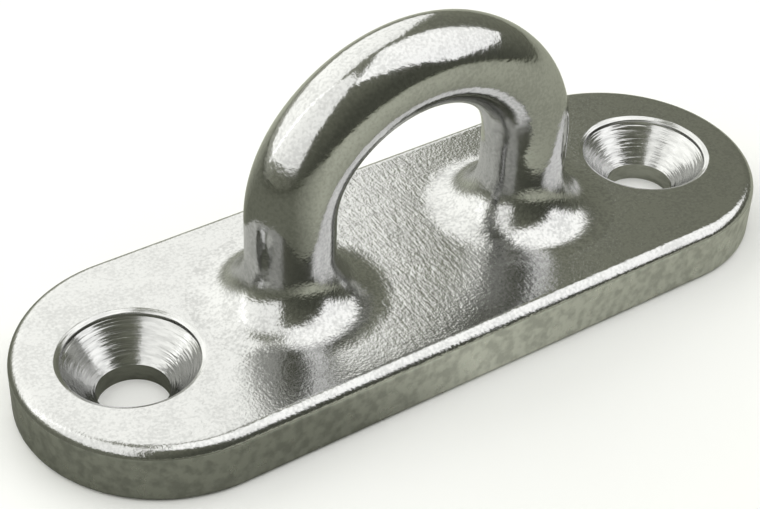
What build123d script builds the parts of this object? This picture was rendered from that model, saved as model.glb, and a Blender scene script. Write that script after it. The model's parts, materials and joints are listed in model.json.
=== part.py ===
from build123d import *
import math
import os

# Pad eye: a flat oblong base plate with two countersunk screw holes and a round bar bent into an eye.
# The bar's shanks pass through the plate, are filleted on top and plugged flush underneath.
# Millimetres, +X along the plate, +Y across it, +Z up, origin on the underside at the plate's centre.

# Base plate
PLATE_WIDTH = 26.6
PLATE_THICKNESS = 5.5
TOP_EDGE_RADIUS = 1.2
BOTTOM_EDGE_RADIUS = 0.5
RECESS_TO_PLATE_END = 3.59

# Screw holes
SCREW_HOLE_DIAMETER = 6.4
HEAD_RECESS_DIAMETER = 11.9
HEAD_RECESS_DEPTH = 0.6
HEAD_RECESS_BEVEL_WIDTH = 0.46
HEAD_RECESS_BEVEL_DEPTH = 0.22
COUNTERSINK_ANGLE = 82.0
WELD_TO_RECESS = 0.64

# Eye bar. The arch is a little lower than a half circle: two corner bends and a flatter crown.
BAR_DIAMETER = 8.0
LEG_SPACING = 25.4
LEG_STRAIGHT_HEIGHT = 8.1
ARCH_FLATTENING = 1.2
CORNER_BEND_INSET = 2.2

# Joint between the bar and the plate
SHANK_RADIAL_CLEARANCE = 0.1
PLUG_WELD_DEPTH = 1.5
FOOT_WELD_RADIUS = 4.6
FOOT_WELD_TOE = 0.15

# Sizes that follow: the screws stand outside the foot welds, and the plate ends outside the screws
BAR_RADIUS = BAR_DIAMETER / 2
HALF_LEG_SPACING = LEG_SPACING / 2
SHANK_HOLE_RADIUS = BAR_RADIUS + SHANK_RADIAL_CLEARANCE
FOOT_WELD_OUTER_RADIUS = BAR_RADIUS + FOOT_WELD_TOE + FOOT_WELD_RADIUS
RECESS_RIM_RADIUS = HEAD_RECESS_DIAMETER / 2 + HEAD_RECESS_BEVEL_WIDTH
SCREW_POSITION = HALF_LEG_SPACING + FOOT_WELD_OUTER_RADIUS + WELD_TO_RECESS + RECESS_RIM_RADIUS
PLATE_LENGTH = 2 * (SCREW_POSITION + RECESS_RIM_RADIUS + RECESS_TO_PLATE_END)
SIDES = {"left": -1, "right": 1}


def revolved(outline, x_position):
    """Solid of revolution about the vertical line at x_position, from a (radius, height) outline."""
    return Pos(x_position, 0, 0) * revolve(make_face(Plane.XZ * outline), Axis.Z)


def screw_hole_cutter(x_position):
    """Through hole, countersink, the short upright lip above it and the lip's bevel."""
    hole_radius = SCREW_HOLE_DIAMETER / 2
    recess_radius = HEAD_RECESS_DIAMETER / 2
    recess_floor = PLATE_THICKNESS - HEAD_RECESS_DEPTH
    half_angle = math.radians(COUNTERSINK_ANGLE / 2)
    cone_foot = recess_floor - (recess_radius - hole_radius) / math.tan(half_angle)
    above = 2 * PLATE_THICKNESS
    below = -PLATE_THICKNESS
    outline = Polyline(
        (0, below),
        (hole_radius, below),
        (hole_radius, cone_foot),
        (recess_radius, recess_floor),
        (recess_radius, PLATE_THICKNESS - HEAD_RECESS_BEVEL_DEPTH),
        (RECESS_RIM_RADIUS, PLATE_THICKNESS),
        (RECESS_RIM_RADIUS, above),
        (0, above),
        close=True,
    )
    return revolved(outline, x_position)


def make_base_plate():
    """Oblong plate with rolled edges, two screw holes and two shank holes."""
    plate = extrude(SlotOverall(PLATE_LENGTH, PLATE_WIDTH), PLATE_THICKNESS)
    plate = fillet(plate.edges().group_by(Axis.Z)[-1], TOP_EDGE_RADIUS)
    plate = fillet(plate.edges().group_by(Axis.Z)[0], BOTTOM_EDGE_RADIUS)
    for side in SIDES.values():
        plate -= screw_hole_cutter(side * SCREW_POSITION)
        shank_hole = Cylinder(SHANK_HOLE_RADIUS, 3 * PLATE_THICKNESS)
        plate -= Pos(side * HALF_LEG_SPACING, 0, 0) * shank_hole
    return plate


def eye_path():
    """Centreline of the bar: up one leg, over the flattened arch and down the other leg."""
    rise = HALF_LEG_SPACING - ARCH_FLATTENING
    corner_radius = HALF_LEG_SPACING - CORNER_BEND_INSET
    extra_rise = rise - corner_radius
    crown_radius = (CORNER_BEND_INSET**2 + rise**2 - corner_radius**2) / (2 * extra_rise)
    corner_sweep = math.degrees(math.atan2(crown_radius - rise, CORNER_BEND_INSET))
    crown_sweep = 180 - 2 * corner_sweep
    spring_height = PLATE_THICKNESS + LEG_STRAIGHT_HEIGHT
    up = Line((-HALF_LEG_SPACING, PLUG_WELD_DEPTH), (-HALF_LEG_SPACING, spring_height))
    first = JernArc(up @ 1, up % 1, corner_radius, -corner_sweep)
    crown = JernArc(first @ 1, first % 1, crown_radius, -crown_sweep)
    last = JernArc(crown @ 1, crown % 1, corner_radius, -corner_sweep)
    down = Line((HALF_LEG_SPACING, spring_height), (HALF_LEG_SPACING, PLUG_WELD_DEPTH))
    return Plane.XZ * (up + first + crown + last + down)


def make_eye_bar():
    """Round bar bent to the eye, both shank ends square and stopping above the underside."""
    section = Pos(-HALF_LEG_SPACING, 0, PLUG_WELD_DEPTH) * Circle(BAR_RADIUS)
    return sweep(section, path=eye_path())


def make_foot_weld(side):
    """Dressed hollow fillet round a shank where it leaves the plate."""
    fillet_top = PLATE_THICKNESS + FOOT_WELD_TOE + FOOT_WELD_RADIUS
    inner = BAR_RADIUS + FOOT_WELD_TOE
    toe_height = PLATE_THICKNESS + FOOT_WELD_TOE
    straight_sides = Polyline(
        (FOOT_WELD_OUTER_RADIUS, toe_height),
        (FOOT_WELD_OUTER_RADIUS, PLATE_THICKNESS),
        (BAR_RADIUS, PLATE_THICKNESS),
        (BAR_RADIUS, fillet_top),
        (inner, fillet_top),
    )
    hollow = RadiusArc((inner, fillet_top), (FOOT_WELD_OUTER_RADIUS, toe_height), -FOOT_WELD_RADIUS)
    return revolved(straight_sides + hollow, side * HALF_LEG_SPACING)


def make_plug_weld(side):
    """Weld metal filling a shank hole under the bar's end, ground flush with the underside."""
    plug = Cylinder(SHANK_HOLE_RADIUS, PLUG_WELD_DEPTH, align=(Align.CENTER, Align.CENTER, Align.MIN))
    return Pos(side * HALF_LEG_SPACING, 0, 0) * plug


def make_parts():
    """Every separate piece by node name."""
    parts = {"base_plate": make_base_plate(), "eye_bar": make_eye_bar()}
    for name, side in SIDES.items():
        parts[f"{name}_foot_weld"] = make_foot_weld(side)
        parts[f"{name}_plug_weld"] = make_plug_weld(side)
    return parts


os.makedirs("parts", exist_ok=True)
for node, shape in make_parts().items():
    shape.label = node
    export_step(shape, f"parts/{node}.step")
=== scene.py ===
"""Visual model of a stainless steel pad eye: a bent bar eye welded to an oblong screw-down plate.

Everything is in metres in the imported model's frame: +X along the plate, +Y across it, +Z up, with the
origin on the plate's underside at its centre.
"""

import json
import logging
import math
from collections.abc import Callable, Iterator
from contextlib import contextmanager
from dataclasses import dataclass, field
from enum import Enum

import bpy
from mathutils import Matrix, Vector

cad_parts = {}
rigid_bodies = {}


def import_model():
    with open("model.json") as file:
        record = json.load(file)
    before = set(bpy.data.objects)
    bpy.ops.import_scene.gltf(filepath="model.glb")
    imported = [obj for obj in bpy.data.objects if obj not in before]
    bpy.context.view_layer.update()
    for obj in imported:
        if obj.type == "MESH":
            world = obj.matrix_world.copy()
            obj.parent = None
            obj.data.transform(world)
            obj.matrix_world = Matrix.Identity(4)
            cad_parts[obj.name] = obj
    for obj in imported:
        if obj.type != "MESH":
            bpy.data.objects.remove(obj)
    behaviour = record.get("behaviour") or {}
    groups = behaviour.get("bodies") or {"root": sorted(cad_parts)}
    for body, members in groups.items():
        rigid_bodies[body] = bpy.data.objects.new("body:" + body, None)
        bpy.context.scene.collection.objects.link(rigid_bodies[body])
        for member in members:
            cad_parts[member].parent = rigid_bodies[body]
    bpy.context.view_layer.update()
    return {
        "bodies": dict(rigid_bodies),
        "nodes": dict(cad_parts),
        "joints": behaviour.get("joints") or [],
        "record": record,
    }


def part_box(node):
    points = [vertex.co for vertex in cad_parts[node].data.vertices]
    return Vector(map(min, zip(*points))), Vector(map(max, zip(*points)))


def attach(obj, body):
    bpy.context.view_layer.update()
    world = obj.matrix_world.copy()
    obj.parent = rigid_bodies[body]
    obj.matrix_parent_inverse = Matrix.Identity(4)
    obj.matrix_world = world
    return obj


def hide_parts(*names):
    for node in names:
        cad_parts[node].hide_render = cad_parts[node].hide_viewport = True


LOG = logging.getLogger("pad_eye")
MM = 0.001
FULL_TURN = 2 * math.pi
SMOOTH_ANGLE = math.radians(32)
SAME_PLACE = 1e-6

# How every steel's tarnish is mixed from broad clouds and fine specks, where it turns dull or bright, and
# the cloud values at which the steel is roughest and smoothest.
CLOUD_SHARE = 0.4
SPECK_SHARE = 0.6
CLOUD_DETAIL = 5.0
SPECK_DETAIL = 2.0
DULL_BELOW = 0.4
BRIGHT_ABOVE = 0.56
ROUGHEST_AT = 0.3
SMOOTHEST_AT = 0.7

# A layer that is kept to the plate's middle is whole up to this share of its reach.
WHOLE_WITHIN = 0.6

# Ray Depth at which a light is seen in one mirroring and in two, between which it fades to its share.
SEEN_ONCE_DEPTH = 2
SEEN_TWICE_DEPTH = 3

Place = Callable[[Vector], bool]


class Side(Enum):
    """The two ends of the plate, by the sign of X."""

    LEFT = -1
    RIGHT = 1

    @property
    def label(self) -> str:
        """Name used at the start of this side's piece names."""
        return self.name.lower()


class Part(Enum):
    """What a selection picks out of a mesh."""

    POINTS = "VERT"
    EDGES = "EDGE"
    FACES = "FACE"


# ---------------------------------------------------------------- modelling tools


def deselect_all() -> None:
    """Leave no object selected."""
    for thing in bpy.context.selected_objects:
        thing.select_set(False)


def make_active(piece: bpy.types.Object) -> None:
    """Select one object alone and make it the active one."""
    deselect_all()
    piece.select_set(True)
    bpy.context.view_layer.objects.active = piece


@contextmanager
def editing(piece: bpy.types.Object) -> Iterator[None]:
    """Hold one piece in edit mode for a block of operators.

    Args:
        piece: The mesh object to edit.
    """
    make_active(piece)
    bpy.ops.object.mode_set(mode="EDIT")
    bpy.ops.mesh.select_mode(type=Part.POINTS.value)
    yield
    bpy.ops.object.mode_set(mode="OBJECT")


def pick(piece: bpy.types.Object, part: Part, place: Place) -> None:
    """Select only the elements of the edited mesh whose middle passes a test.

    Args:
        piece: The mesh object in edit mode.
        part: Which kind of element to select.
        place: Test of an element's middle point.
    """
    bpy.ops.mesh.select_mode(type=part.value)
    bpy.ops.mesh.select_all(action="DESELECT")
    bpy.ops.object.mode_set(mode="OBJECT")
    mesh = piece.data
    if part is Part.POINTS:
        for point in mesh.vertices:
            point.select = place(point.co)
    elif part is Part.EDGES:
        for edge in mesh.edges:
            start, end = (mesh.vertices[index].co for index in edge.vertices)
            edge.select = place(start) and place(end)
    else:
        for face in mesh.polygons:
            face.select = place(face.center)
    bpy.ops.object.mode_set(mode="EDIT")


def at_height(height: float) -> Place:
    """Test for points that lie at one height."""
    return lambda point: abs(point.z - height) < SAME_PLACE


def close_up(piece: bpy.types.Object) -> None:
    """Merge doubled points and point every face outwards."""
    with editing(piece):
        bpy.ops.mesh.select_all(action="SELECT")
        bpy.ops.mesh.remove_doubles(threshold=SAME_PLACE)
        bpy.ops.mesh.normals_make_consistent(inside=False)


def apply_place(piece: bpy.types.Object) -> None:
    """Move the object's place, turn and scale into its mesh."""
    make_active(piece)
    bpy.ops.object.transform_apply(location=True, rotation=True, scale=True)


def copy_at(piece: bpy.types.Object, name: str, x_position: float) -> bpy.types.Object:
    """Copy a piece that was modelled at X = 0, with a mesh of its own, to another X.

    Args:
        piece: The finished piece.
        name: The copy's name.
        x_position: Where the copy goes along X.

    Returns:
        The copy, its place held in its mesh.
    """
    twin = piece.copy()
    twin.data = piece.data.copy()
    twin.name = name
    bpy.context.scene.collection.objects.link(twin)
    twin.location.x = x_position
    apply_place(twin)
    return twin


def apply_modifier(piece: bpy.types.Object, kind: str, **settings: object) -> None:
    """Add one modifier, set it and apply it.

    Args:
        piece: The mesh object.
        kind: The modifier's type.
        settings: Its settings by name.
    """
    make_active(piece)
    bpy.ops.object.modifier_add(type=kind)
    modifier = piece.modifiers[-1]
    for key, value in settings.items():
        setattr(modifier, key, value)
    bpy.ops.object.modifier_apply(modifier=modifier.name)


def cut(piece: bpy.types.Object, tool: bpy.types.Object) -> None:
    """Cut a tool's shape out of a piece and throw the tool away."""
    apply_modifier(piece, "BOOLEAN", operation="DIFFERENCE", solver="EXACT", object=tool)
    bpy.data.objects.remove(tool)


def smooth(piece: bpy.types.Object) -> None:
    """Shade smooth up to the edge angle, with flat faces kept flat beside small roundings."""
    make_active(piece)
    bpy.ops.object.shade_smooth_by_angle(angle=SMOOTH_ANGLE, keep_sharp_edges=True)
    apply_modifier(piece, "WEIGHTED_NORMAL", mode="FACE_AREA", weight=100, keep_sharp=True)


# ---------------------------------------------------------------- finishes


def srgb(code: str) -> tuple[float, float, float, float]:
    """Turn an sRGB hex colour into the linear colour that shaders use.

    Args:
        code: Six hex digits, with or without a leading hash.

    Returns:
        Linear red, green and blue, and full alpha.
    """
    digits = code.lstrip("#")
    channels = [int(digits[start : start + 2], 16) / 255 for start in (0, 2, 4)]
    linear = [c / 12.92 if c <= 0.04045 else ((c + 0.055) / 1.055) ** 2.4 for c in channels]
    return (linear[0], linear[1], linear[2], 1.0)


def add_node(
    tree: bpy.types.NodeTree, kind: str, settings: dict[str, object] | None = None, **inputs: object
) -> bpy.types.Node:
    """Add one node with its settings, input values and incoming links.

    Args:
        tree: The node tree that gets the node.
        kind: The node's type name.
        settings: Attributes to set on the node.
        inputs: Input sockets by name, with underscores for spaces. A socket given here is linked, and
            anything else is set as the input's own value.

    Returns:
        The new node.
    """
    node = tree.nodes.new(kind)
    for key, value in (settings or {}).items():
        setattr(node, key, value)
    for key, value in inputs.items():
        socket = node.inputs[key.replace("_", " ")]
        if isinstance(value, bpy.types.NodeSocket):
            tree.links.new(value, socket)
        else:
            socket.default_value = value
    return node


def calculate(tree: bpy.types.NodeTree, operation: str, *values: object) -> bpy.types.NodeSocket:
    """Add one sum on numbers or number sockets.

    Args:
        tree: The node tree that gets the sum.
        operation: The sum's name.
        values: What it works on, in order.

    Returns:
        The result's socket.
    """
    node = add_node(tree, "ShaderNodeMath", {"operation": operation})
    for socket, value in zip(node.inputs, values):
        if isinstance(value, bpy.types.NodeSocket):
            tree.links.new(value, socket)
        else:
            socket.default_value = value
    return node.outputs["Value"]


def set_stops(ramp: bpy.types.Node, stops: tuple[tuple[float, str], ...]) -> None:
    """Set a colour ramp's stops from positions and sRGB hex colours."""
    while len(ramp.color_ramp.elements) < len(stops):
        ramp.color_ramp.elements.new(0.5)
    for element, (position, colour) in zip(ramp.color_ramp.elements, stops):
        element.position = position
        element.color = srgb(colour)


@dataclass(frozen=True)
class Waviness:
    """One layer of surface unevenness: its bumps' width and height, and how far they are drawn out."""

    width: float
    height: float
    stretch: tuple[float, float, float] = (1.0, 1.0, 1.0)
    turn: float = 0.0
    detail: float = 2.0
    only_within: float | None = None


@dataclass(frozen=True)
class Steel:
    """Stainless steel, a nickel chrome alloy with a clear oxide skin, which mirrors its surroundings."""

    name: str
    bright: str
    dull: str
    roughness: tuple[float, float]
    cloud: float
    layers: tuple[Waviness, ...]
    speck: float = 0.3 * MM
    turned_about: float | None = None

    def material(self) -> bpy.types.Material:
        """Build the shader: clouded colour and roughness over layers of real unevenness.

        Returns:
            The finished material.
        """
        material = bpy.data.materials.new(self.name)
        material.use_nodes = True
        tree = material.node_tree
        tree.nodes.clear()
        place = self._place(tree)
        clouds = self._noise(tree, place, self.cloud, CLOUD_DETAIL)
        specks = self._noise(tree, place, self.speck, SPECK_DETAIL)
        clouded = calculate(tree, "MULTIPLY", clouds, CLOUD_SHARE)
        tarnish = calculate(tree, "MULTIPLY_ADD", specks, SPECK_SHARE, clouded)
        colour = add_node(tree, "ShaderNodeValToRGB", Fac=tarnish)
        set_stops(colour, ((DULL_BELOW, self.dull), (BRIGHT_ABOVE, self.bright)))
        low, high = self.roughness
        haze = add_node(
            tree,
            "ShaderNodeMapRange",
            Value=clouds,
            From_Min=ROUGHEST_AT,
            From_Max=SMOOTHEST_AT,
            To_Min=high,
            To_Max=low,
        )
        surface = add_node(
            tree,
            "ShaderNodeBsdfPrincipled",
            Base_Color=colour.outputs["Color"],
            Metallic=1.0,
            Roughness=haze.outputs["Result"],
            Normal=self._relief(tree, place),
        )
        add_node(tree, "ShaderNodeOutputMaterial", Surface=surface.outputs["BSDF"])
        return material

    @staticmethod
    def _noise(
        tree: bpy.types.NodeTree, place: bpy.types.NodeSocket, width: float, detail: float
    ) -> bpy.types.NodeSocket:
        """Add a noise whose patches are about one width across."""
        noise = add_node(tree, "ShaderNodeTexNoise", Vector=place, Scale=1 / width, Detail=detail)
        return noise.outputs["Fac"]

    def _place(self, tree: bpy.types.NodeTree) -> bpy.types.NodeSocket:
        """Give the texture's coordinates, wound round the turning axes where there are any."""
        place = add_node(tree, "ShaderNodeTexCoord").outputs["Object"]
        if self.turned_about is None:
            return place
        along = add_node(tree, "ShaderNodeSeparateXYZ", Vector=place)
        mirrored = calculate(tree, "ABSOLUTE", along.outputs["X"])
        across = calculate(tree, "SUBTRACT", mirrored, self.turned_about)
        sideways = along.outputs["Y"]
        across_squared = calculate(tree, "MULTIPLY", across, across)
        both_squared = calculate(tree, "MULTIPLY_ADD", sideways, sideways, across_squared)
        reach = calculate(tree, "SQRT", both_squared)
        turn = calculate(tree, "MULTIPLY", calculate(tree, "ARCTAN2", sideways, across), MM)
        wound = add_node(tree, "ShaderNodeCombineXYZ", X=reach, Y=turn, Z=along.outputs["Z"])
        return wound.outputs["Vector"]

    def _relief(self, tree: bpy.types.NodeTree, place: bpy.types.NodeSocket) -> bpy.types.NodeSocket:
        """Stack the layers of unevenness into one normal."""
        normal = None
        for layer in self.layers:
            turn = (0.0, 0.0, math.radians(layer.turn))
            spread = add_node(tree, "ShaderNodeMapping", Vector=place, Rotation=turn, Scale=layer.stretch)
            bumps = self._noise(tree, spread.outputs["Vector"], layer.width, layer.detail)
            relief = add_node(tree, "ShaderNodeBump", Height=bumps, Distance=layer.height)
            if layer.only_within is not None:
                tree.links.new(self._middle(tree, place, layer.only_within), relief.inputs["Strength"])
            if normal is not None:
                tree.links.new(normal, relief.inputs["Normal"])
            normal = relief.outputs["Normal"]
        return normal

    @staticmethod
    def _middle(tree: bpy.types.NodeTree, place: bpy.types.NodeSocket, reach: float) -> bpy.types.NodeSocket:
        """Mask that is 1 at the middle of the plate's length and fades out towards a reach along X."""
        along = add_node(tree, "ShaderNodeSeparateXYZ", Vector=place).outputs["X"]
        away = calculate(tree, "ABSOLUTE", along)
        fade = add_node(
            tree,
            "ShaderNodeMapRange",
            Value=away,
            From_Min=WHOLE_WITHIN * reach,
            From_Max=reach,
            To_Min=1,
            To_Max=0,
        )
        return fade.outputs["Result"]


# Drawn bar, bent and then mopped to a mirror: crisp reflections with faintly wavering borders.
MIRROR_POLISHED_BAR = Steel(
    name="mirror_polished_bar_steel",
    bright="#CACACA",
    dull="#BABABA",
    roughness=(0.08, 0.15),
    cloud=4 * MM,
    layers=(
        Waviness(width=2.4 * MM, height=0.018 * MM),
        Waviness(width=0.6 * MM, height=0.014 * MM),
        Waviness(width=0.25 * MM, height=0.006 * MM),
    ),
)

# What rubbing by hand leaves: a fine orange peel, and short strokes across the plate where the pad
# turned between the legs.
HAND_RUBBED = (
    Waviness(width=2.6 * MM, height=0.006 * MM),
    Waviness(width=0.5 * MM, height=0.018 * MM),
    Waviness(width=0.22 * MM, height=0.019 * MM, detail=3.0),
    Waviness(width=0.28 * MM, height=0.022 * MM, stretch=(1.0, 0.25, 1.0), turn=16, only_within=11 * MM),
    Waviness(width=0.28 * MM, height=0.018 * MM, stretch=(1.0, 0.18, 1.0), turn=-20, only_within=11 * MM),
)

# Plate face: a mirror dulled by the rubbing, so it greys and blurs what stands on it.
HAND_POLISHED_PLATE = Steel(
    name="hand_polished_plate_steel",
    bright="#CACACA",
    dull="#BCBCBC",
    roughness=(0.12, 0.18),
    cloud=3 * MM,
    layers=HAND_RUBBED,
)

# Weld toes dressed with a flap wheel and rubbed down with the plate: the same peel over soft lumps.
DRESSED_WELD = Steel(
    name="dressed_weld_steel",
    bright="#CACACA",
    dull="#B4B4B4",
    roughness=(0.12, 0.18),
    cloud=2 * MM,
    layers=(Waviness(width=1.8 * MM, height=0.03 * MM), *HAND_RUBBED),
)

# Plate sides only ground and rubbed over: a satin grey that blurs what it mirrors.
GROUND_EDGE = Steel(
    name="ground_plate_edge_steel",
    bright="#ECECEC",
    dull="#CECECE",
    roughness=(0.26, 0.36),
    cloud=1.6 * MM,
    speck=0.9 * MM,
    layers=(
        Waviness(width=1.6 * MM, height=0.03 * MM),
        Waviness(width=0.4 * MM, height=0.012 * MM),
    ),
)


# ---------------------------------------------------------------- the pad eye


@dataclass
class Layout:
    """The driving places of the pad eye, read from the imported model."""

    half_length: float
    half_width: float
    thickness: float
    screw_position: float
    screw_hole_radius: float
    leg_position: float
    bar_radius: float
    bar_foot: float
    bar_top: float
    weld_reach: float

    @classmethod
    def from_frame(cls, frame: dict) -> "Layout":
        """Read the places from the frame's boxes and mounts.


        Returns:
            The layout in metres.
        """
        _, plate_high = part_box("base_plate")
        bar_low, bar_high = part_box("eye_bar")
        plug_low, plug_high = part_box("right_plug_weld")
        weld_low, weld_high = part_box("right_foot_weld")
        screws = next(m for m in frame["record"]["mounts"] if m["name"] == "screw_holes")
        bar_radius = bar_high.y
        return cls(
            half_length=plate_high.x,
            half_width=plate_high.y,
            thickness=plate_high.z,
            screw_position=screws["dims"]["spacing_x_mm"] / 2 * MM,
            screw_hole_radius=screws["dims"]["hole_r_mm"] * MM,
            leg_position=(plug_low.x + plug_high.x) / 2,
            bar_radius=bar_radius,
            bar_foot=bar_low.z,
            bar_top=bar_high.z - bar_radius,
            weld_reach=weld_high.y,
        )


@dataclass
class BasePlate:
    """The oblong plate with rolled edges, countersunk screw holes and shank holes."""

    layout: Layout
    top_edge_radius: float = 1.2 * MM
    bottom_edge_radius: float = 0.5 * MM
    recess_radius: float = 5.95 * MM
    lip_depth: float = 0.6 * MM
    lip_bevel_width: float = 0.46 * MM
    lip_bevel_depth: float = 0.22 * MM
    lip_round: float = 0.07 * MM
    countersink_half_angle: float = math.radians(41)
    shank_gap: float = 0.1 * MM
    ring_tolerance: float = 0.01 * MM
    face_polish_over_edge: float = 0.75
    end_facets: int = 144
    hole_facets: int = 96
    top_edge_facets: int = 12
    bottom_edge_facets: int = 5
    lip_facets: int = 3

    def build(self) -> bpy.types.Object:
        """Model the plate.

        Returns:
            The plate's object.
        """
        plate = self._blank()
        for side in Side:
            cut(plate, self._screw_cutter(side.value * self.layout.screw_position))
            cut(plate, self._shank_cutter(side.value * self.layout.leg_position))
        self._round_lips(plate)
        plate.name = "polished_base_plate"
        smooth(plate)
        return plate

    def _blank(self) -> bpy.types.Object:
        """Stretch a disc into the oblong and roll its edges."""
        half_step = math.pi / self.end_facets
        bpy.ops.mesh.primitive_cylinder_add(
            vertices=self.end_facets,
            radius=self.layout.half_width,
            depth=self.layout.thickness,
            location=(0, 0, self.layout.thickness / 2),
            rotation=(0, 0, half_step),
        )
        plate = bpy.context.object
        apply_place(plate)
        reach = self.layout.half_length - self.layout.half_width
        with editing(plate):
            for side in Side:
                pick(plate, Part.POINTS, lambda point: point.x * side.value > 0)
                bpy.ops.transform.translate(value=(side.value * reach, 0, 0))
            pick(plate, Part.EDGES, at_height(self.layout.thickness))
            bpy.ops.mesh.bevel(offset=self.top_edge_radius, segments=self.top_edge_facets)
            pick(plate, Part.EDGES, at_height(0))
            bpy.ops.mesh.bevel(offset=self.bottom_edge_radius, segments=self.bottom_edge_facets)
        return plate

    def _screw_cutter(self, x_position: float) -> bpy.types.Object:
        """Shape the drill and countersink as one solid, from the hole up to the lip."""
        radius = self.layout.screw_hole_radius
        lip_floor = self.layout.thickness - self.lip_depth
        cone_height = (self.recess_radius - radius) / math.tan(self.countersink_half_angle)
        start = -self.layout.thickness
        cone_foot = lip_floor - cone_height
        bpy.ops.mesh.primitive_cylinder_add(
            vertices=self.hole_facets,
            radius=radius,
            depth=cone_foot - start,
            location=(0, 0, (start + cone_foot) / 2),
        )
        cutter = bpy.context.object
        apply_place(cutter)
        flare = self.recess_radius / radius
        with editing(cutter):
            pick(cutter, Part.FACES, at_height(cone_foot))
            bpy.ops.mesh.extrude_region_move(TRANSFORM_OT_translate={"value": (0, 0, cone_height)})
            bpy.ops.transform.resize(value=(flare, flare, 1))
            lip_height = self.lip_depth - self.lip_bevel_depth
            bpy.ops.mesh.extrude_region_move(TRANSFORM_OT_translate={"value": (0, 0, lip_height)})
            flare = 1 + self.lip_bevel_width / self.recess_radius
            bpy.ops.mesh.extrude_region_move(TRANSFORM_OT_translate={"value": (0, 0, self.lip_bevel_depth)})
            bpy.ops.transform.resize(value=(flare, flare, 1))
            bpy.ops.mesh.extrude_region_move(TRANSFORM_OT_translate={"value": (0, 0, MM)})
        cutter.location.x = x_position
        apply_place(cutter)
        return cutter

    def _shank_cutter(self, x_position: float) -> bpy.types.Object:
        """Plain drill for one of the bar's shanks."""
        bpy.ops.mesh.primitive_cylinder_add(
            vertices=self.hole_facets,
            radius=self.layout.bar_radius + self.shank_gap,
            depth=3 * self.layout.thickness,
            location=(x_position, 0, 0),
        )
        cutter = bpy.context.object
        apply_place(cutter)
        return cutter

    def _round_lips(self, plate: bpy.types.Object) -> None:
        """Soften both edges of each countersink's bevelled lip, as the polishing mop does."""
        rim_radius = self.recess_radius + self.lip_bevel_width
        bevel_foot = self.layout.thickness - self.lip_bevel_depth
        with editing(plate):
            for height, radius in ((self.layout.thickness, rim_radius), (bevel_foot, self.recess_radius)):
                pick(plate, Part.EDGES, self._on_ring(height, radius))
                bpy.ops.mesh.bevel(offset=self.lip_round, segments=self.lip_facets)

    def _on_ring(self, height: float, radius: float) -> Place:
        """Test for points on a ring about either screw's axis."""

        def on_ring(point: Vector) -> bool:
            reach = math.hypot(abs(point.x) - self.layout.screw_position, point.y)
            return at_height(height)(point) and abs(reach - radius) < self.ring_tolerance

        return on_ring

    def dress(self, plate: bpy.types.Object) -> None:
        """Give the face, sides and countersinks their own finishes."""
        # Countersinks left as turned, with the tool's fine rings.
        turned = Steel(
            name="turned_countersink_steel",
            bright="#CFCFCF",
            dull="#BEBEBE",
            roughness=(0.14, 0.24),
            cloud=0.5 * MM,
            layers=(
                Waviness(width=0.5 * MM, height=0.02 * MM),
                Waviness(width=0.6 * MM, height=0.02 * MM, stretch=(1.0, 3.0, 1.0), detail=3.0),
                Waviness(width=0.26 * MM, height=0.045 * MM, stretch=(1.0, 0.3, 1.0)),
            ),
            turned_about=self.layout.screw_position,
        )
        for finish in (HAND_POLISHED_PLATE, GROUND_EDGE, turned):
            plate.data.materials.append(finish.material())
        side_top = self.layout.thickness - self.face_polish_over_edge * self.top_edge_radius
        rim_radius = self.recess_radius + self.lip_bevel_width
        for face in plate.data.polygons:
            reach = math.hypot(abs(face.center.x) - self.layout.screw_position, face.center.y)
            if reach < rim_radius:
                face.material_index = 2
            elif face.center.z < side_top:
                face.material_index = 1


@dataclass
class EyeBar:
    """The round bar bent to the eye: two upright legs, two corner bends and a flatter crown."""

    layout: Layout
    corner_inset: float = 2.2 * MM
    flattening: float = 1.2 * MM
    facets: int = 96
    corner_steps: int = 24
    crown_steps: int = 56

    def build(self) -> bpy.types.Object:
        """Model the bar by drawing a disc up one leg, over the arch and down the other leg.

        Returns:
            The bar's object.
        """
        leg = self.layout.leg_position
        rise = leg - self.flattening
        corner_radius = leg - self.corner_inset
        crown_radius = (self.corner_inset**2 + rise**2 - corner_radius**2) / (2 * (rise - corner_radius))
        corner_turn = math.atan2(crown_radius - rise, self.corner_inset)
        crown_turn = math.pi - 2 * corner_turn
        spring_height = self.layout.bar_top - rise
        bpy.ops.mesh.primitive_circle_add(
            vertices=self.facets,
            radius=self.layout.bar_radius,
            fill_type="NGON",
            location=(-leg, 0, self.layout.bar_foot),
        )
        bar = bpy.context.object
        apply_place(bar)
        leg_height = spring_height - self.layout.bar_foot
        with editing(bar):
            bpy.ops.mesh.select_all(action="SELECT")
            bpy.ops.mesh.extrude_region_move(TRANSFORM_OT_translate={"value": (0, 0, leg_height)})
            self._bend(self.corner_steps, corner_turn, -self.corner_inset, spring_height)
            self._bend(self.crown_steps, crown_turn, 0, self.layout.bar_top - crown_radius)
            self._bend(self.corner_steps, corner_turn, self.corner_inset, spring_height)
            bpy.ops.mesh.extrude_region_move(TRANSFORM_OT_translate={"value": (0, 0, -leg_height)})
        close_up(bar)
        bar.name = "polished_eye_bar"
        smooth(bar)
        return bar

    def _bend(self, steps: int, angle: float, centre_x: float, centre_z: float) -> None:
        """Carry the selected end of the bar round one bend. Spin counts a clockwise turn as positive."""
        bpy.ops.mesh.spin(steps=steps, angle=-angle, center=(centre_x, 0, centre_z), axis=(0, 1, 0))

    def dress(self, bar: bpy.types.Object) -> None:
        """Give the bar its mirror polish."""
        bar.data.materials.append(MIRROR_POLISHED_BAR.material())


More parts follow.
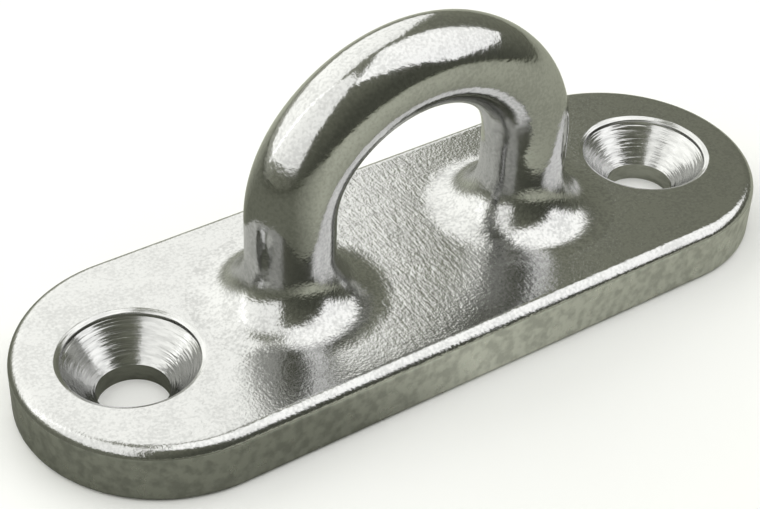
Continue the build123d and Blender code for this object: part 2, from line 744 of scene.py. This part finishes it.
@dataclass
class FootWelds:
    """The dressed hollow fillet round each leg, running out on the plate in a low skirt."""

    layout: Layout
    fillet_radius: float = 4.6 * MM
    skirt_angle: float = math.radians(6)
    skirt_overrun: float = 0.5 * MM
    feather: float = 0.004 * MM
    rooted: float = 0.05 * MM
    fillet_facets: int = 28
    skirt_facets: int = 6
    round_facets: int = 128

    def build(self) -> list[bpy.types.Object]:
        """Model one weld about the upright line through the origin and copy it to both legs.

        Returns:
            The left and the right weld.
        """
        weld = self._profile()
        with editing(weld):
            bpy.ops.mesh.select_all(action="SELECT")
            bpy.ops.mesh.spin(steps=self.round_facets, angle=FULL_TURN, center=(0, 0, 0), axis=(0, 0, 1))
        close_up(weld)
        smooth(weld)
        welds = [
            copy_at(weld, f"{side.label}_dressed_foot_weld", side.value * self.layout.leg_position)
            for side in Side
        ]
        bpy.data.objects.remove(weld)
        return welds

    def _profile(self) -> bpy.types.Object:
        """Draw the weld's outline on one side of the leg, from one point carried round by operators."""
        toe_height = self.layout.thickness + self.feather
        inner = self.layout.bar_radius + self.feather
        sweep = math.pi / 2 - self.skirt_angle
        fillet_end = inner + self.fillet_radius * (1 - math.cos(sweep))
        skirt_end = self.layout.weld_reach + self.skirt_overrun
        skirt_radius = (skirt_end - fillet_end) / math.sin(self.skirt_angle)
        skirt_drop = skirt_radius * (1 - math.cos(self.skirt_angle))
        fillet_top = toe_height + skirt_drop + self.fillet_radius * math.sin(sweep)
        bpy.ops.mesh.primitive_plane_add(size=MM, location=(inner, 0, fillet_top))
        profile = bpy.context.object
        apply_place(profile)
        root_height = self.layout.thickness - self.rooted
        root_radius = self.layout.bar_radius - self.rooted
        with editing(profile):
            bpy.ops.mesh.select_all(action="SELECT")
            bpy.ops.mesh.merge(type="CENTER")
            self._arc(self.fillet_facets, sweep, inner + self.fillet_radius, fillet_top)
            self._arc(self.skirt_facets, self.skirt_angle, skirt_end, toe_height + skirt_radius)
            self._line(0, root_height - toe_height)
            self._line(root_radius - skirt_end, 0)
            self._line(0, fillet_top - root_height)
            self._line(inner - root_radius, 0)
        return profile

    def _arc(self, steps: int, angle: float, centre_x: float, centre_z: float) -> None:
        """Carry the selected end of the outline round one arc."""
        bpy.ops.mesh.spin(steps=steps, angle=angle, center=(centre_x, 0, centre_z), axis=(0, 1, 0))

    def _line(self, along_x: float, along_z: float) -> None:
        """Carry the selected end of the outline along a straight line."""
        bpy.ops.mesh.extrude_region_move(TRANSFORM_OT_translate={"value": (along_x, 0, along_z)})

    def dress(self, welds: list[bpy.types.Object]) -> None:
        """Give both welds the dressed finish."""
        finish = DRESSED_WELD.material()
        for weld in welds:
            weld.data.materials.append(finish)


@dataclass
class PlugWelds:
    """The weld metal under each shank, ground flush with the plate's underside."""

    layout: Layout
    edge_gap: float = 0.1 * MM
    edge_bevel: float = 0.12 * MM
    edge_facets: int = 3
    round_facets: int = 96

    def build(self) -> list[bpy.types.Object]:
        """Model one plug about the upright line through the origin and copy it to both legs.

        Returns:
            The left and the right plug.
        """
        depth = self.layout.bar_foot
        bpy.ops.mesh.primitive_cylinder_add(
            vertices=self.round_facets,
            radius=self.layout.bar_radius + self.edge_gap,
            depth=depth,
            location=(0, 0, depth / 2),
        )
        plug = bpy.context.object
        apply_place(plug)
        with editing(plug):
            pick(plug, Part.EDGES, at_height(0))
            bpy.ops.mesh.bevel(offset=self.edge_bevel, segments=self.edge_facets)
        smooth(plug)
        plugs = [
            copy_at(plug, f"{side.label}_ground_plug_weld", side.value * self.layout.leg_position)
            for side in Side
        ]
        bpy.data.objects.remove(plug)
        return plugs

    def dress(self, plugs: list[bpy.types.Object]) -> None:
        """Give both plugs the ground finish."""
        finish = GROUND_EDGE.material()
        for plug in plugs:
            plug.data.materials.append(finish)


# ---------------------------------------------------------------- the studio


@dataclass(frozen=True)
class Softbox:
    """A soft studio light: where it hangs as seen from the object, and which way its back points."""

    name: str
    azimuth: float
    elevation: float
    back_azimuth: float
    back_elevation: float
    roll: float
    width: float
    height: float
    radiance: float
    seen_twice: float = 1.0
    distance: float = 0.6

    def place(self) -> None:
        """Hang the light."""
        lamp = bpy.data.lights.new(self.name, "AREA")
        lamp.shape = "RECTANGLE"
        lamp.size = self.width
        lamp.size_y = self.height
        lamp.energy = self.radiance * math.pi * self.width * self.height
        lamp.use_nodes = True
        depth = add_node(lamp.node_tree, "ShaderNodeLightPath").outputs["Ray Depth"]
        share = add_node(
            lamp.node_tree,
            "ShaderNodeMapRange",
            Value=depth,
            From_Min=SEEN_ONCE_DEPTH,
            From_Max=SEEN_TWICE_DEPTH,
            To_Min=1,
            To_Max=self.seen_twice,
        )
        strength = lamp.node_tree.nodes["Emission"].inputs["Strength"]
        lamp.node_tree.links.new(share.outputs["Result"], strength)
        light = bpy.data.objects.new(self.name, lamp)
        bpy.context.scene.collection.objects.link(light)
        place = Matrix.Translation(direction(self.azimuth, self.elevation) * self.distance)
        light.matrix_world = place @ looking_back(self.back_azimuth, self.back_elevation, self.roll)
        light.visible_camera = False


def direction(azimuth: float, elevation: float) -> Vector:
    """Unit vector for an azimuth from +X and an elevation, both in degrees."""
    turn = math.radians(azimuth)
    rise = math.radians(elevation)
    return Vector((math.cos(rise) * math.cos(turn), math.cos(rise) * math.sin(turn), math.sin(rise)))


def looking_back(azimuth: float, elevation: float, roll: float) -> Matrix:
    """Turn of a camera or lamp whose back points at an azimuth and elevation, rolled about that line."""
    turn = direction(azimuth, elevation).to_track_quat("Z", "Y").to_matrix()
    return (turn @ Matrix.Rotation(math.radians(roll), 3, "Z")).to_4x4()


SOFTBOXES = (
    Softbox(
        "overhead_softbox",
        azimuth=-25,
        elevation=67,
        back_azimuth=-42.5,
        back_elevation=41.5,
        roll=16,
        width=0.62,
        height=0.92,
        radiance=1.42,
    ),
    Softbox(
        "rear_softbox",
        azimuth=100,
        elevation=54.7,
        back_azimuth=100,
        back_elevation=0,
        roll=0,
        width=0.74,
        height=0.83,
        radiance=1.12,
        seen_twice=0.45,
    ),
    Softbox(
        "left_softbox",
        azimuth=181,
        elevation=65.6,
        back_azimuth=181,
        back_elevation=0,
        roll=0,
        width=0.37,
        height=0.95,
        radiance=1.12,
        seen_twice=0.4,
    ),
)


@dataclass
class Studio:
    """A pale table, soft lights and the camera, in a room that is darker on the camera's side."""

    floor_size: float = 4.0
    table_lit_to: float = 0.15
    table_fades_by: float = 0.5
    camera_target: Vector = field(default_factory=lambda: Vector((-2.916, 0.293, 5.5)) * MM)
    camera_azimuth: float = -125.81
    camera_elevation: float = 38.11
    camera_distance: float = 159.4 * MM
    camera_roll: float = 2.3
    camera_lens: float = 83.2
    camera_clip_start: float = 0.01
    shade_starts: float = -0.7
    shade_ends: float = 0.95
    pale: str = "#FEFEFE"

    def build(self) -> None:
        """Set up the floor, world, lights and camera."""
        self._floor()
        self._world()
        for light in SOFTBOXES:
            light.place()
        self._camera()

    def _floor(self) -> None:
        """Lay the table. The steel sees it with painted shade, darkest off the left end and palest in line
        with the middle.
        """
        bpy.ops.mesh.primitive_plane_add(size=self.floor_size)
        floor = bpy.context.object
        floor.name = "table"
        material = bpy.data.materials.new("pale_table")
        material.use_nodes = True
        tree = material.node_tree
        tree.nodes.clear()
        place = add_node(tree, "ShaderNodeTexCoord").outputs["Object"]
        # Painted shade: as the steel sees it, the table is darkened off the left end, less so towards +X,
        # and palest in line with the middle.
        stops = ((0, "#84867A"), (0.42, "#D6D8CA"), (1, "#B6B8AA"))
        shade = self._shade(tree, place, direction(0, 0), stops)
        self._output(
            tree,
            "ShaderNodeOutputMaterial",
            seen=self._table_top(tree, place),
            mirrored=add_node(tree, "ShaderNodeBsdfDiffuse", Color=shade).outputs["BSDF"],
        )
        floor.data.materials.append(material)

    def _table_top(self, tree: bpy.types.NodeTree, place: bpy.types.NodeSocket) -> bpy.types.NodeSocket:
        """Shade the table plainly round the object and let it fade into the pale room further out."""
        reach = add_node(tree, "ShaderNodeVectorMath", {"operation": "LENGTH"})
        tree.links.new(place, reach.inputs[0])
        fade = add_node(
            tree,
            "ShaderNodeMapRange",
            Value=reach.outputs["Value"],
            From_Min=self.table_lit_to,
            From_Max=self.table_fades_by,
        )
        top = add_node(tree, "ShaderNodeMixShader", Fac=fade.outputs["Result"])
        near = add_node(tree, "ShaderNodeBsdfDiffuse", Color=srgb(self.pale))
        far = add_node(tree, "ShaderNodeEmission", Color=srgb(self.pale))
        tree.links.new(near.outputs["BSDF"], top.inputs[1])
        tree.links.new(far.outputs["Emission"], top.inputs[2])
        return top.outputs["Shader"]

    def _world(self) -> None:
        """Dim the room from behind the object round to the camera's side."""
        world = bpy.data.worlds.new("studio_room")
        bpy.context.scene.world = world
        world.use_nodes = True
        tree = world.node_tree
        tree.nodes.clear()
        place = add_node(tree, "ShaderNodeTexCoord").outputs["Generated"]
        stops = ((0, "#54564B"), (0.35, "#747667"), (0.75, "#898B7B"), (1, "#BCBEB0"))
        shade = self._shade(tree, place, direction(110, 20), stops)
        self._output(
            tree,
            "ShaderNodeOutputWorld",
            seen=add_node(tree, "ShaderNodeBackground", Color=srgb(self.pale)).outputs["Background"],
            mirrored=add_node(tree, "ShaderNodeBackground", Color=shade).outputs["Background"],
        )

    def _shade(
        self,
        tree: bpy.types.NodeTree,
        place: bpy.types.NodeSocket,
        towards: Vector,
        stops: tuple[tuple[float, str], ...],
    ) -> bpy.types.NodeSocket:
        """Colour places by how far they lie towards one direction.

        Args:
            tree: The node tree that gets the nodes.
            place: The socket of the place or direction to colour.
            towards: The direction that the last stop stands for.
            stops: The ramp's positions and colours, from the opposite side to that direction.

        Returns:
            The colour's socket.
        """
        unit = add_node(tree, "ShaderNodeVectorMath", {"operation": "NORMALIZE"})
        tree.links.new(place, unit.inputs[0])
        facing = add_node(tree, "ShaderNodeVectorMath", {"operation": "DOT_PRODUCT"})
        tree.links.new(unit.outputs["Vector"], facing.inputs[0])
        facing.inputs[1].default_value = towards
        share = add_node(
            tree,
            "ShaderNodeMapRange",
            Value=facing.outputs["Value"],
            From_Min=self.shade_starts,
            From_Max=self.shade_ends,
        )
        ramp = add_node(tree, "ShaderNodeValToRGB", Fac=share.outputs["Result"])
        set_stops(ramp, stops)
        return ramp.outputs["Color"]

    def _output(
        self, tree: bpy.types.NodeTree, kind: str, seen: bpy.types.NodeSocket, mirrored: bpy.types.NodeSocket
    ) -> None:
        """Show one shader to the camera and the other one to the steel."""
        camera_ray = add_node(tree, "ShaderNodeLightPath").outputs["Is Camera Ray"]
        both = add_node(tree, "ShaderNodeMixShader", Fac=camera_ray)
        tree.links.new(mirrored, both.inputs[1])
        tree.links.new(seen, both.inputs[2])
        add_node(tree, kind, Surface=both.outputs["Shader"])

    def _camera(self) -> None:
        """Place the camera."""
        lens = bpy.data.cameras.new("camera")
        lens.lens = self.camera_lens
        lens.clip_start = self.camera_clip_start
        camera = bpy.data.objects.new("camera", lens)
        bpy.context.scene.collection.objects.link(camera)
        towards = direction(self.camera_azimuth, self.camera_elevation)
        place = Matrix.Translation(self.camera_target + towards * self.camera_distance)
        turn = looking_back(self.camera_azimuth, self.camera_elevation, self.camera_roll)
        camera.matrix_world = place @ turn
        bpy.context.scene.camera = camera
        bpy.context.scene.view_settings.view_transform = "Standard"


def hand_over(piece: bpy.types.Object, slot: str, *nodes: str) -> None:
    """Let a finished piece stand for its CAD nodes and ride on the one body.

    Args:
        piece: The finished piece.
        slot: Not used.
        nodes: The CAD nodes that it stands for.
    """
    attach(piece, "root")
    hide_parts(*nodes)
    LOG.info("%s: %d faces for %s", piece.name, len(piece.data.polygons), ", ".join(nodes))


def main() -> None:
    """Build the pad eye and its studio, and log each piece's face count."""
    logging.basicConfig(level=logging.INFO, format="%(name)s %(message)s")
    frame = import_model()
    layout = Layout.from_frame(frame)
    deselect_all()

    plate_maker = BasePlate(layout)
    plate = plate_maker.build()
    plate_maker.dress(plate)
    hand_over(plate, "plate_steel", "base_plate")

    bar_maker = EyeBar(layout)
    bar = bar_maker.build()
    bar_maker.dress(bar)
    hand_over(bar, "bar_steel", "eye_bar")

    for maker, ending in ((FootWelds(layout), "foot_weld"), (PlugWelds(layout), "plug_weld")):
        pieces = maker.build()
        maker.dress(pieces)
        for side, piece in zip(Side, pieces):
            hand_over(piece, "weld_steel", f"{side.label}_{ending}")

    Studio().build()


if __name__ == "__main__":
    main()
